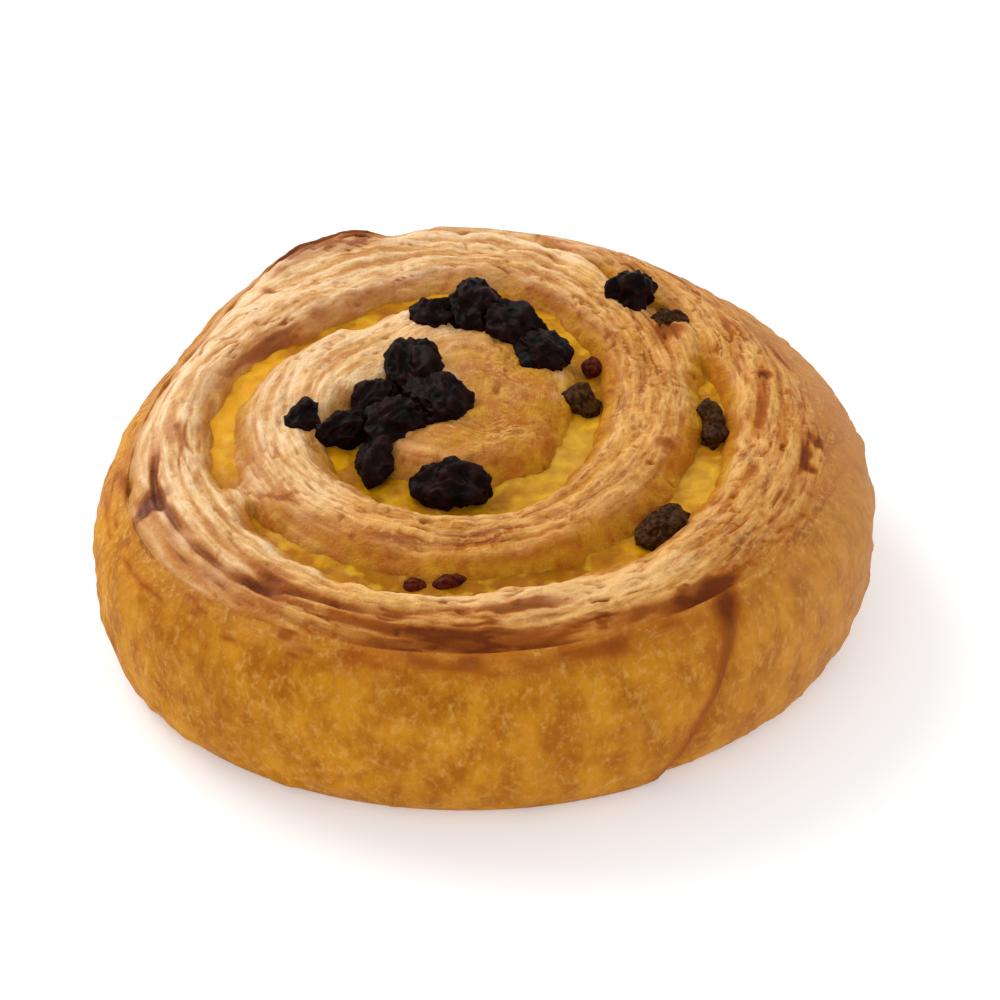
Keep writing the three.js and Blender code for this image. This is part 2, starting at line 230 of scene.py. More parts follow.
def noise(x, y, seed, z=0.0):
    """Smooth gradient noise, about -1 to 1, one feature for each unit."""
    x, y, z = np.broadcast_arrays(np.asarray(x, float), np.asarray(y, float), np.asarray(z, float))
    cell = [np.floor(v).astype(np.int64) for v in (x, y, z)]
    part = [v - c for v, c in zip((x, y, z), cell)]
    ease = [p * p * p * (p * (p * 6 - 15) + 10) for p in part]
    total = np.zeros(x.shape)
    for corner in range(8):
        step = [corner & 1, corner >> 1 & 1, corner >> 2 & 1]
        key = sum((c + s) * prime for c, s, prime in zip(cell, step, CELL_PRIMES))
        key = (key ^ (seed * 2654435761)) & KEY_BITS
        key = ((key ^ (key >> 15)) * 2246822519) & KEY_BITS
        key = ((key ^ (key >> 13)) * 3266489917) & KEY_BITS
        turn = (key & 1023) / 1023 * 2 * math.pi
        height = ((key >> 10) & 1023) / 511.5 - 1
        flat = np.sqrt(np.maximum(0, 1 - height * height))
        offset = [p - s for p, s in zip(part, step)]
        slope = offset[0] * flat * np.cos(turn) + offset[1] * flat * np.sin(turn) + offset[2] * height
        weight = np.ones(x.shape)
        for e, s in zip(ease, step):
            weight = weight * (e if s else 1 - e)
        total += slope * weight
    return total * 1.6


def ridges(x, y, seed, z=0.0):
    """Noise folded into sharp crests, 0 to 1."""
    return clip(1 - np.abs(noise(x, y, seed, z)) * 1.6)


# the dough sinks towards the custard and, past the custard's end, towards a plain crease
VALLEY_DEPTH = 2.7
SLOPE_IN = 4.2
SLOPE_OUT = 5.0
TRENCH_DEPTH = 1.6
CREASE_DEPTH = 1.3
CREASE_SLOPE = 2.4
CLOSES_BEFORE = 30
CLOSES_OVER = 40
SWELL_HEIGHT = 0.45
# dough that has risen over the custard: coil angle, reach, share of the valley it fills
BRIDGES = ((15, 28, 0.3), (212, 8, 0.75), (361, 8, 0.4), (393, 15, 0.95))
# layer edges on the cut face: length along the coil, spacing across it, height or depth
BAND_LONG, BAND_APART, BAND_HEIGHT = 24, 2.6, 0.34
STROKE_LONG, STROKE_APART, STROKE_HEIGHT = 9, 1.2, 0.24
HAIR_LONG, HAIR_APART = 4.5, 0.7
CRACK_LONG, CRACK_APART, CRACK_DEPTH = 12, 2.1, 0.45
PORE_DEPTH = 0.42
# near the rim: layers that have split and stepped down, and the slot under an overhang
LEFT_FRONT = (184, 266, 12, 14)
FRONT = (244, 312, 20, 5)
SPLIT_IN, SPLIT_DEPTH = 3.9, 0.8
STEP_WIDTH, STEP_HEIGHT = 1.7, 0.35
SLOT_IN, SLOT_DEPTH = 0.6, 0.7
# how far in from the front rim the painted highlight band lies, at its left and at its right
FRONT_HIGHLIGHT_BAND = (7.2, 5.4)
# the side: inset at each height, blisters, the seam beside the thin end, and where it has browned,
# with painted shade under the front rim
WALL_PROFILE = ((0, 3.0), (1.5, 1.8), (5, 0.5), (10.5, 0), (16, 0.3), (20, 1.9))
SWELLING = 0.34
BLISTER_HEIGHT = 0.3
TAIL_SEAM_DEPTH = 0.45
SIDE_FRONT = (236, 316, 20, 8)
SIDE_LEFT = (178, 262, 16, 18)
ROSY = (5, 42, 1.0)
# the side of the pastry painted paler, as lit and sheened from the back left: its direction and reach
PAINTED_SHEEN_SIDE = 150
PAINTED_SHEEN_REACH = 42
# dark places on the face, scorched, the one at 26, 18 being a painted shadow in the groove beside a
# raisin: x, y, radius, how brown, how deep
SCORCHED_AND_SHADOW_SPOTS = ((30.0, -38.2, 3.4, 0.75, 0.2), (-41.8, -19.7, 2.3, 0.9, 0.8),
            (-45.3, -24.2, 1.4, 0.6, 0.3), (24.2, -9.5, 1.6, 0.5, 0.0), (38.5, 6.7, 1.2, 0.6, 0.2),
            (42.9, -12.5, 1.1, 0.7, 0.3), (44.0, -5.8, 1.2, 0.6, 0.3), (26.0, 18.0, 2.2, 0.7, 0.2),
            (-26.0, -37.0, 1.6, 0.3, 0.3))
TOASTED_SLOPE = (145, 30, 0.55)
# how fine the mesh is
STATION_STEP = 0.75
ACROSS = 44
CORE_RINGS = 20
WALL_ROWS = 38
BASE_RINGS = 8
# in the middle, the strip's width, and how far the layers go on across the pole and in under the base
CORE_WIDTH = 9.0
POLE_ACROSS = -14.0
BASE_ACROSS = 40.0


def rise_at(radius):
    return CENTRE_RISE * (1 - clip(radius / CENTRE_REACH) ** 2)


def closed_share(angle):
    return clip((angle - CUSTARD_END + CLOSES_BEFORE) / CLOSES_OVER)


def bridged(angle):
    return clip(sum(bump(angle, bridge) for bridge in BRIDGES))


def valley(angle, distance, slope):
    closed = closed_share(angle)
    flat = mix(custard_half_width(angle), 0, closed)
    share = clip((distance - flat) / mix(slope, CREASE_SLOPE, closed))
    return mix(VALLEY_DEPTH, CREASE_DEPTH, closed) * (1 - bridged(angle)) * (1 - share) ** 2


def opening(angle):
    """Half the width over which the custard shows; below 0 the dough has closed over it."""
    covered = 4 * smooth((bridged(angle) - 0.5) / 0.3)
    return custard_half_width(angle) * (1 - closed_share(angle)) - covered


def swell(angle, radius):
    waves = (0.5 * sin(7 * angle + np.degrees(radius * 0.31))
             + 0.3 * sin(11 * angle - np.degrees(radius * 0.5))
             + 0.2 * sin(17 * angle + np.degrees(radius * 0.9)))
    return SWELL_HEIGHT * clip(radius / 16) * waves


def seams_near(angle, radius):
    """Depth of the valleys, that of the inner one, the gap to the custard and where the lip faces."""
    x, y = radius * cos(angle), radius * sin(angle)
    coil = np.maximum(angle, COIL_START)
    next_coil = np.minimum(angle + TURN, COIL_END)
    seam_in = np.where(angle < COIL_START, -99.0, seam_radius(coil))
    seam_out = np.where(angle + TURN > COIL_END, 999.0, seam_radius(next_coil))
    wobble = 0.9 * noise(x / 5.5, y / 5.5, 3) + 0.25 * noise(x / 2.1, y / 2.1, 4)
    gap_in = radius - seam_in + wobble
    gap_out = seam_out - radius + wobble
    gap_hook = hook_distance(x, y) - HOOK_EXTRA + wobble
    facing_in = valley(coil, gap_in, SLOPE_IN)
    facing_out = np.where(angle + TURN > COIL_END, 0, valley(next_coil, gap_out, SLOPE_OUT))
    hook = VALLEY_DEPTH * (1 - clip((gap_hook - CUSTARD_HALF_WIDTH) / SLOPE_IN)) ** 2
    sunk = np.maximum(np.maximum(facing_in, facing_out), hook)
    past_in, past_out = gap_in - opening(coil), gap_out - opening(next_coil)
    beside = np.minimum(np.minimum(past_in, past_out), gap_hook - CUSTARD_HALF_WIDTH)
    facing = np.where(past_in < past_out, -sin(angle), sin(angle))
    return sunk, facing_in, beside, facing


def rim_layers(angle, run, across, rim_gap):
    """Where the outer layers have split, how they step down, and the slot under the front rim."""
    place_round = angle % TURN
    left_front = sector(place_round, LEFT_FRONT)
    split_at = SPLIT_IN + 0.8 * noise(run / 8, 0, 18)
    split = bell((rim_gap - split_at) / 0.55) * left_front * smooth(0.75 + noise(run / 5, 0, 19))
    step = (rim_gap / STEP_WIDTH + place_round / 24 + 0.3 * noise(run / 6, across / 2, 20)) % 1.0
    outside = smooth((split_at + 0.8 - rim_gap) / 0.8) * smooth(rim_gap / 0.8) * left_front
    stepped = STEP_HEIGHT * outside * smooth(step) * (1 - smooth((step - 0.8) / 0.2))
    slot = bell((rim_gap - SLOT_IN - 0.4 * noise(run / 6, 0, 44)) / 0.8) * sector(place_round, FRONT)
    return split, stepped, slot * clip(0.55 + 1.2 * noise(run / 7, rim_gap / 3, 45))


def top_surface(angle, radius, across, width):
    """Height of the cut face, and the shares that its colours are mixed by."""
    x, y = radius * cos(angle), radius * sin(angle)
    sunk, facing_in, beside, facing = seams_near(angle, radius)
    trench = smooth(0.2 - beside / 1.1)

    # layer edges run along the coil: broad bands, thin strokes, and cracks where they have opened
    run = arc_length(angle)
    lane = across + 0.9 * noise(run / 17, across / 5, 17)
    bands = ridges(run / BAND_LONG, lane / BAND_APART, 11)
    strokes = (0.6 * ridges(run / STROKE_LONG, lane / STROKE_APART, 12)
               + 0.4 * ridges(run / HAIR_LONG, lane / HAIR_APART, 13, 0.3))
    patches = clip(0.5 + 0.9 * noise(x / 6, y / 6, 15))
    cracks = smooth((ridges(run / CRACK_LONG, lane / CRACK_APART, 14) - 0.88) / 0.12)
    cracks = cracks * smooth((radius - 22) / 8)
    cracks = cracks * smooth((patches - 0.45) / 0.3)
    body = smooth(width / 4) * (1 - trench) * smooth((radius - 5) / 14)
    crown = 1 - sunk / VALLEY_DEPTH
    relief = (BAND_HEIGHT * (bands - 0.55) + STROKE_HEIGHT * (strokes - 0.5)
              - CRACK_DEPTH * cracks * patches)

    # the crumb itself is rough and full of small pores
    lumps = 0.45 * noise(x / 4.6, y / 4.6, 16) + 0.26 * noise(x / 2.0, y / 2.0, 26)
    grain = 0.16 * noise(x / 0.95, y / 0.95, 27)
    pores = smooth((noise(x / 1.5, y / 1.3, 28) - 0.34) / 0.3) * patches
    # the left and back are painted paler, as lit and sheened from the back left, and their relief is
    # softer than on the right and front
    toward = (y * sin(PAINTED_SHEEN_SIDE) + x * cos(PAINTED_SHEEN_SIDE)) / PAINTED_SHEEN_REACH
    side = smooth((toward + 0.4 + 0.25 * noise(x / 9, y / 9, 25)) / 1.1)
    relief = body * relief * (0.4 + 0.6 * crown) * (1 - 0.6 * side)
    relief = relief + (1 - trench) * (lumps + grain - PORE_DEPTH * pores)

    height = CREST_HEIGHT + rise_at(radius) + swell(angle, radius) - sunk + relief
    rim_gap = rim_radius(angle) - radius
    lifted = flap_share(angle + 3 * noise(run / 3, rim_gap / 3, 42))
    rim = (1 - clip(rim_gap / RIM_SLOPE)) ** (1.7 + 4 * lifted)
    height = mix(height, rim_height(angle), rim)

    # at the left front the outer layers have stepped down; at the front they overhang the side
    split, stepped, slot = rim_layers(angle, run, across, rim_gap)
    height = height - SPLIT_DEPTH * split - stepped
    height = height - SLOT_DEPTH * slot - TRENCH_DEPTH * trench

    # the lifted corner is torn into layers, and browned there as the scorched places are
    flap = lifted * smooth((FLAP_REACH - rim_gap + 1.4 * noise(run / 4, 0, 43)) / 2.2)
    torn = (rim_gap / 1.3 + 0.5 * noise(run / 4, rim_gap, 52)) % 1.0
    height = height + flap * (0.5 * smooth((rim_gap - 0.2) / 1.5) + 0.5 * (smooth(torn) - 0.5))
    scorch_and_shadow = flap * clip(0.62 - 0.25 * torn + 0.6 * noise(x / 3, y / 3, 29))
    for spot_x, spot_y, reach, brown, deep in SCORCHED_AND_SHADOW_SPOTS:
        away = np.hypot(x - spot_x, y - spot_y) / reach + 0.35 * noise(x / 2.1, y / 2.1, 24)
        near = smooth(1.35 - away)
        scorch_and_shadow = np.maximum(scorch_and_shadow, brown * near)
        height = height - deep * near * (1 - trench)

    # the slopes down to the custard are soaked and yellow, and painted deeper as shade, most of all in
    # the middle
    flank_soak_and_shade = smooth((1 - crown - 0.07) / 0.42)
    flank_soak_and_shade = np.maximum(flank_soak_and_shade, 0.8 * smooth((18 - radius) / 8) * clip(0.6 + noise(x / 5, y / 5, 47)))

    # lips that face the back get a painted highlight, lips that face the front painted shade
    lip = bell((beside - 2.2 - 0.5 * noise(x / 3, y / 3, 30)) / 1.0)
    crest_highlight = lip * clip(0.35 + 0.85 * facing) * clip(0.6 + noise(x / 3.5, y / 3.5, 48))
    # along the front a painted highlight band lies inside a browned slope
    front = sector(angle % TURN, FRONT)
    pale_at = mix(*FRONT_HIGHLIGHT_BAND, smooth((angle % TURN - 256) / 30))
    front_highlight = front * bell((rim_gap - pale_at) / 2.5)
    front_slope = front * smooth((pale_at - 2.6 - rim_gap) / 1.5)
    front_slope = front_slope * clip(0.5 + noise(run / 9, rim_gap / 1.2, 49))
    edges = clip(1.3 * (0.4 * bands + 0.6 * strokes - 0.32) - 0.5 * cracks - 0.8 * pores)
    edges = (0.35 + 0.65 * crown) * edges * (0.72 + 0.28 * side) * (1 - 0.4 * rim) * body
    pale = (1 - trench) * clip(edges + 0.75 * crest_highlight * clip(0.7 + noise(x / 2.4, y / 2.4, 31))
                               + 0.85 * front_highlight * clip(0.8 + noise(x / 2.4, y / 2.4, 50)))

    # toast, with painted shade in hollows, cracks, pores, the split, the slot under the front rim and
    # the lips that face the front; broken brown lines along the right and front
    hollow = body * clip(0.75 - 1.1 * strokes) * clip(1.2 - bands)
    far_slope = smooth((facing_in / VALLEY_DEPTH - 0.12) / 0.3)
    far_slope = far_slope * bump(np.maximum(angle, COIL_START), TOASTED_SLOPE)
    far_slope = far_slope * clip(0.3 + 1.6 * noise(run / 9, lane / 1.6, 35))
    furrows = smooth((0.5 - bands) / 0.3) * smooth((14 - rim_gap) / 4) * crown * (1 - side)
    furrows = furrows * clip(0.45 + 1.2 * noise(x / 8, y / 8, 46))
    dashes = smooth((ridges(run / 7, rim_gap / 1.1, 40) - 0.72) / 0.2) * smooth((5.5 - rim_gap) / 3)
    dashes = dashes * (1 - side) * clip(0.55 + 1.2 * noise(x / 6, y / 6, 41))
    # painted shade on the lips that face the front, away from the light
    shaded_lip = lip * clip(-1.2 * facing) * clip(0.8 + noise(x / 3, y / 3, 51))
    toast_and_shade = clip(0.85 * split + 0.75 * slot + 0.5 * cracks * crown + scorch_and_shadow + 0.3 * hollow
                 + 0.45 * pores * (1 - side) + far_slope + 0.55 * dashes + 0.6 * furrows
                 + 0.35 * shaded_lip + 0.4 * front_slope)
    # painted contact shade where the dough meets the custard
    contact_shade = bell((beside + 0.1) / 0.9) * clip(0.35 + 1.1 * noise(x / 5, y / 5, 54))
    toast_and_shade = clip(toast_and_shade + 0.32 * contact_shade)
    skin = 0.5 * smooth((2.6 - rim_gap + 1.5 * noise(run / 3.5, rim_gap / 1.5, 36)) / 3.0)
    rosy = round_bump(angle, ROSY) * smooth((3.5 - rim_gap) / 3.5)
    # the third look is painted sheen: the side painted paler, with the painted highlights of crests
    # and the front band
    looks = (flank_soak_and_shade, rosy, clip(side + (0.4 * crest_highlight + 0.35 * front_highlight) * (1 - trench)))
    return height, (pale, toast_and_shade, skin), looks, run


def place(radius, angle, height):
    return np.stack([radius * cos(angle) - CENTRE_X, radius * sin(angle) - CENTRE_Y,
                     np.broadcast_to(height, np.shape(radius * angle))], -1)


def wall_surface(angle, height):
    """Radius of the side below the rim with its blisters, and how dark the thin end's edge is:
    browned, with painted shade in the step beside it.
    """
    knot_heights, knot_insets = zip(*WALL_PROFILE)
    heights = np.array([*knot_heights, RIM_HEIGHT])
    rim_inset = wall_radius(angle) - rim_radius(angle)
    insets = [np.full_like(angle, inset) for inset in knot_insets]
    insets = np.stack([*insets, rim_inset, 2 * rim_inset], -1)
    t = np.clip(height / (rim_height(angle) / RIM_HEIGHT), 0, RIM_HEIGHT)
    index = np.clip(np.searchsorted(heights, t, side="right") - 1, 0, len(heights) - 2)
    rows = np.arange(len(angle))

    def knot(k):
        return insets[rows, np.maximum(k, 0)]

    share = (t - heights[index]) / (heights[index + 1] - heights[index])
    p0, p1, p2, p3 = knot(index - 1), knot(index), knot(index + 1), knot(index + 2)
    # a smooth curve through the profile, straight below its first height
    inset = p1 + 0.5 * share * (p2 - p0 + share * (2 * p0 - 5 * p1 + 4 * p2 - p3
                                                   + share * (3 * (p1 - p2) + p3 - p0)))
    inset = np.where(index == 0, mix(p1, p2, share), inset)
    run = np.radians(angle) * WALL_RADIUS
    blisters = (SWELLING * noise(run / 6, height / 5, 21)
                + BLISTER_HEIGHT * smooth(noise(run / 2.2, height / 3.0, 22) * 1.4))
    grain = 0.1 * noise(run / 0.9, height / 1.6, 23)
    edge = smooth(height / 1.2) * smooth((rim_height(angle) - height) / 1.2)
    lip = tail_lip(angle, height) * smooth((24 - height) / 8)
    past = tail_past(angle, height)
    seam = bell((past - 0.9) / 1.7) * smooth((24.5 - height) / 3)
    radius = wall_radius(angle) - inset + lip + edge * (blisters + grain) - TAIL_SEAM_DEPTH * seam
    # browning and painted shade along the step beside the thin end
    browned_and_shaded = bell((past + 0.4) / 2.3) * smooth((26 - height) / 3)
    return radius, run, browned_and_shaded


def closed(ring):
    return np.append(ring, ring[0])


def woven(grid):
    """The four-sided faces of a grid of points."""
    return np.stack([grid[:-1, :-1], grid[:-1, 1:], grid[1:, 1:], grid[1:, :-1]], -1).reshape(-1, 4)


def side_marks(ring, below, height, run, browned_and_shaded):
    """The shares that the side's colours are mixed by, from the distance below the rim."""
    front, left = sector(ring % TURN, SIDE_FRONT), sector(ring % TURN, SIDE_LEFT)
    streak = ridges(run / 16, below / 1.5 + run / 26, 37) * smooth((7 - below) / 5)
    # just under the front rim the side is painted darker: browning with painted shade under the
    # overhang
    under_rim = bell((below - 0.8 - 0.5 * noise(run / 7, 0, 38)) / 0.9)
    ragged = clip(0.55 + 1.3 * noise(run / 4, below / 2, 39))
    band = front * smooth((3.8 - below) / 2.6) * clip(0.4 + noise(run / 9, below / 1.1, 53))
    toast_and_shade = clip(browned_and_shaded * mix(0.5, 0.7, smooth((height - 4) / 14)) + 0.4 * front * under_rim * ragged
                 + 0.4 * band + 0.5 * left * smooth((streak - 0.72) / 0.2))
    skin = 0.5 + 0.5 * smooth((below + 1.3 * noise(run / 3.5, below / 1.6, 36)) / 2.6)
    return np.stack([0.5 * left * clip(streak - 0.2), toast_and_shade, skin], -1)


def crust_mesh():
    """The dough's points and faces, with three vectors on each point: marks, looks and flow."""
    count = int(round((COIL_END - COIL_START + TURN) / STATION_STEP)) + 1
    turn = int(round(TURN / STATION_STEP))
    angles = COIL_START - TURN + STATION_STEP * np.arange(count)
    inner, outer = inner_edge(angles), outer_edge(angles)
    share = np.arange(ACROSS) / ACROSS
    points, marks, looks, flow, quads, triangles = [], [], [], [], [], []

    def lay_face(angle, radius, across, width):
        height, mark, look, run = top_surface(angle, radius, across, width)
        points.append(place(radius, angle, height).reshape(-1, 3))
        marks.append(np.stack([v.reshape(-1) for v in mark], -1))
        looks.append(np.stack([v.reshape(-1) for v in look], -1))
        from_pole = smooth((radius - 4) / 8)
        run = mix(radius * sin(angle), run, from_pole)
        across = mix(radius * cos(angle), across, from_pole)
        flow.append(np.stack([run.reshape(-1), across.reshape(-1), height.reshape(-1)], -1))
        return sum(len(p) for p in points)

    def loft(first, second):
        quads.append(np.stack([first[:-1], first[1:], second[1:], second[:-1]], -1))

    radius = mix(inner[:, None], outer[:, None], share[None, :])
    angle = np.broadcast_to(angles[:, None], radius.shape)
    width = np.broadcast_to((outer - inner)[:, None], radius.shape)
    total = lay_face(angle, radius, radius - inner[:, None], width)
    grid = np.arange(total).reshape(count, ACROSS)

    # the side, from the rim down and in under the base
    ring = angles[count - 1 - turn:count - 1]
    strip_width = outer[-turn - 1:-1] - inner[-turn - 1:-1]
    rim = total + np.arange(turn)
    upper = rim
    for row in range(WALL_ROWS + BASE_RINGS + 1):
        z = rim_height(ring) * max(0.0, 1 - row / WALL_ROWS)
        inward = max(0, row - WALL_ROWS) / (BASE_RINGS + 1)
        r, run, browned_and_shaded = wall_surface(ring, z)
        r = rim_radius(ring) if row == 0 else r * (1 - inward)
        points.append(place(r, ring, z))
        below = rim_height(ring) - z
        marks.append(side_marks(ring, below, z, run, browned_and_shaded))
        looks.append(np.stack([ring * 0, round_bump(ring, ROSY), ring * 0], -1))
        across = strip_width + below + BASE_ACROSS * inward
        flow.append(np.stack([arc_length(ring), across, z], -1))
        lower = total + np.arange(turn)
        if row:
            loft(closed(upper), closed(lower))
        upper = lower
        total += turn
    points[0][grid[-1]] = points[1][0]  # the coil ends in one point of the rim
    base = points[-1].mean(0)
    points.append(np.array([[base[0], base[1], 0.0]]))
    marks.append(np.array([[0.0, 0.25, 1.0]]))
    looks.append(np.zeros((1, 3)))
    flow.append(np.array([[0.0, 400.0, -40.0]]))
    last = closed(upper)
    triangles.append(np.stack([last[:-1], np.full(turn, total), last[1:]], -1))
    total += 1

    # the turns of the coil, each sharing its outer edge with the next turn or the rim
    edge = np.empty(count, int)
    fused = np.arange(count) + turn < count
    edge[fused] = grid[np.arange(count)[fused] + turn, 0]
    edge[~fused] = closed(rim)[np.arange(count)[~fused] - (count - 1 - turn)]
    quads.append(woven(np.concatenate([grid, edge[:, None]], 1)))

    # the middle, closed with rings round the pole
    core = angles[:turn]
    outside = grid[:turn, 0]
    for ring_index in range(1, CORE_RINGS):
        r = inner_edge(core) * (1 - ring_index / CORE_RINGS)
        inside = total + np.arange(turn)
        total = lay_face(core, r, r - inner_edge(core), np.full(turn, CORE_WIDTH))
        loft(closed(inside), closed(outside))
        outside = inside
    pole = np.zeros(1)
    lay_face(core[:1], pole, pole + POLE_ACROSS, pole + CORE_WIDTH)
    last = closed(outside)
    triangles.append(np.stack([np.full(turn, total), last[:-1], last[1:]], -1))
    faces = [*np.concatenate(quads).tolist(), *np.concatenate(triangles).tolist()]
    layers = {"marks": marks, "looks": looks, "flow": flow}
    layers = {name: np.concatenate(rows) for name, rows in layers.items()}
    return np.concatenate(points), faces, layers


def make_piece(name, points, faces, layers=None, weld=0.0):
    """A smooth mesh from points in millimetres; layers are vectors kept on its points."""
    mesh = bpy.data.meshes.new(name)
    mesh.from_pydata((np.asarray(points) * MM).tolist(), [], faces)
    for label, values in (layers or {}).items():
        kept = mesh.attributes.new(label, "FLOAT_VECTOR", "POINT")
        kept.data.foreach_set("vector", np.asarray(values, np.float32).ravel())
    if weld:
        work = bmesh.new()
        work.from_mesh(mesh)
        bmesh.ops.remove_doubles(work, verts=work.verts, dist=weld * MM)
        bmesh.ops.dissolve_degenerate(work, edges=work.edges, dist=weld * MM / 4)
        bmesh.ops.recalc_face_normals(work, faces=work.faces)
        work.to_mesh(mesh)
        work.free()
    mesh.update()
    mesh.shade_smooth()
    piece = bpy.data.objects.new(name, mesh)
    bpy.context.collection.objects.link(piece)
    return piece


def to_linear(code):
    """An sRGB hex value as a linear colour."""
    parts = [int(code[i:i + 2], 16) / 255 for i in (1, 3, 5)]
    return [p / 12.92 if p <= 0.04045 else ((p + 0.055) / 1.055) ** 2.4 for p in parts] + [1.0]


def add(tree, kind, inputs=None, out=0, **settings):
    """Adds a shader node with its settings; each input is linked, a hex colour or a value."""
    made = tree.nodes.new("ShaderNode" + kind)
    for name, value in settings.items():
        setattr(made, name, value)
    for key, value in (inputs or {}).items():
        if isinstance(value, bpy.types.NodeSocket):
            tree.links.new(value, made.inputs[key])
        else:
            made.inputs[key].default_value = to_linear(value) if isinstance(value, str) else value
    return made.outputs[out] if made.outputs else made


# the node that lays one colour over another by a share: its sockets and its settings
SHARE, UNDER, OVER = 0, 6, 7
BLEND = {"out": 2, "data_type": "RGBA"}


def new_material(name):
    material = bpy.data.materials.new(name)
    material.use_nodes = True
    material.node_tree.nodes.clear()
    return material, material.node_tree


# Butter dough, egg-washed and baked: matt and flaky where it is cut, pale on the layer edges and
# deep golden on the flanks between them, the flanks also painted deeper as shade; a thin glaze gives
# the side painted paler a soft sheen. Layer strokes are drawn about 0.5 mm apart, coarser than the
# real layers, so that they show. Marks: the pale layer edges with the painted highlights on crests
# and the front band, the toasted places with painted shade in hollows, cracks, splits, under the rim
# and at the custard's edge, and the skin of the side. Looks: the slopes beside the custard, soaked
# and painted shade, the rosy part of the side, and the left and back painted paler as lit and
# sheened. Flow runs along the layers, across them and up.
# Noise is scaled for each millimetre: mottling of about 4 mm, specks of 1 mm, patches of 13 mm.
def baked_dough():
    material, tree = new_material("baked_butter_dough")
    place_m = add(tree, "TexCoord", out="Object")
    here = add(tree, "VectorMath", {0: place_m, "Scale": 1 / MM}, operation="SCALE")
    marks = add(tree, "Attribute", out="Vector", attribute_name="marks")
    looks = add(tree, "Attribute", out="Vector", attribute_name="looks")
    pale, toast_and_shade, wall = add(tree, "SeparateXYZ", {0: marks}).node.outputs
    flank_soak_and_shade, rosy, side = add(tree, "SeparateXYZ", {0: looks}).node.outputs
    flow = add(tree, "Attribute", out="Vector", attribute_name="flow")
    drawn = add(tree, "VectorMath", {0: flow, 1: (0.4, 1.7, 0.7)}, operation="MULTIPLY")
    strokes = add(tree, "TexNoise", {"Vector": drawn, "Scale": 1.0, "Detail": 4.0, "Roughness": 0.6})
    tall = add(tree, "VectorMath", {0: here, 1: (1.0, 1.0, 0.7)}, operation="MULTIPLY")
    mottle = add(tree, "TexNoise", {"Vector": tall, "Scale": 0.26, "Detail": 5.0, "Roughness": 0.62})
    speck = add(tree, "TexNoise", {"Vector": tall, "Scale": 1.1, "Detail": 4.0, "Roughness": 0.65})
    patch = add(tree, "TexNoise", {"Vector": here, "Scale": 0.075, "Detail": 2.0})

    # the skin of the side: mottled golden brown, with paler specks, browner areas and the rosy part
    golden = add(tree, "MapRange", {"Value": mottle, "From Min": 0.36, "From Max": 0.62})
    light = add(tree, "MapRange", {"Value": speck, "From Min": 0.5, "From Max": 0.7, "To Max": 0.65})
    warm = add(tree, "MapRange", {"Value": patch, "From Min": 0.45, "From Max": 0.72, "To Max": 0.35})
    blush = add(tree, "Math", {0: rosy, 1: 0.6}, operation="MULTIPLY")
    skin = "#a86208"
    for share, tint in ((golden, "#d08c1a"), (light, "#dda550"), (warm, "#a05a14"),
                        (blush, "#c4895c")):
        skin = add(tree, "Mix", {SHARE: share, UNDER: skin, OVER: tint}, **BLEND)

    # the cut face: browned streaks held to the right, off the left and back that are painted paler as
    # lit and sheened; there the layer edges get a creamy painted sheen
    long = add(tree, "VectorMath", {0: flow, 1: (0.16, 0.5, 0.3)}, operation="MULTIPLY")
    drift = add(tree, "TexNoise", {"Vector": long, "Scale": 1.0, "Detail": 6.0, "Roughness": 0.75})
    drawn_out = add(tree, "MapRange", {"Value": drift, "From Min": 0.38, "From Max": 0.62})
    ruddy = add(tree, "MapRange", {"Value": mottle, "From Min": 0.52, "From Max": 0.66, "To Max": 0.6})
    thin = add(tree, "VectorMath", {0: flow, 1: (0.14, 0.8, 0.3)}, operation="MULTIPLY")
    layer = add(tree, "TexNoise", {"Vector": thin, "Scale": 1.0, "Detail": 4.0, "Roughness": 0.7})
    # right: the part not painted paler as lit, where browned streaks and deeper painted shade go
    right = add(tree, "Math", {0: 1.0, 1: side}, operation="SUBTRACT")
    baked = add(tree, "MapRange", {"Value": layer, "From Min": 0.51, "From Max": 0.57, "To Max": 0.95})
    baked = add(tree, "Math", {0: baked, 1: right}, operation="MULTIPLY")
    orange = add(tree, "MapRange", {"Value": patch, "From Min": 0.5, "From Max": 0.68, "To Max": 0.5})
    crumbs = add(tree, "MapRange", {"Value": speck, "From Min": 0.54, "From Max": 0.7, "To Max": 0.6})
    dots = add(tree, "MapRange", {"Value": speck, "From Min": 0.42, "From Max": 0.32, "To Max": 0.6})
    # painted sheen: the lit side lightened
    painted_sheen = add(tree, "Math", {0: side, 1: 0.4}, operation="MULTIPLY")
    lines = add(tree, "MapRange", {"Value": strokes, "From Min": 0.25, "From Max": 0.65})
    edges = add(tree, "Math", {0: pale, 1: lines}, operation="MULTIPLY")
    edges = add(tree, "MapRange", {"Value": edges, "From Max": 0.5, "To Max": 0.95})
    # the layer edges of the lit side painted creamy, as sheen on real pale edges
    cream_and_sheen = add(tree, "Math", {0: edges, 1: side}, operation="MULTIPLY")
    cream_and_sheen = add(tree, "MapRange", {"Value": cream_and_sheen, "From Min": 0.1, "From Max": 0.9, "To Max": 0.85})
    # the flanks take the soaked colour, painted deeper as shade, most on the right away from the light
    deep = add(tree, "Math", {0: right, 1: 0.45, 2: 0.45}, operation="MULTIPLY_ADD")
    deep = add(tree, "Math", {0: flank_soak_and_shade, 1: deep}, operation="MULTIPLY")
    stain = add(tree, "MapRange", {"Value": mottle, "From Min": 0.42, "From Max": 0.58})
    soaked_and_shaded = add(tree, "Mix", {SHARE: stain, UNDER: "#c8921a", OVER: "#b0680a"}, **BLEND)

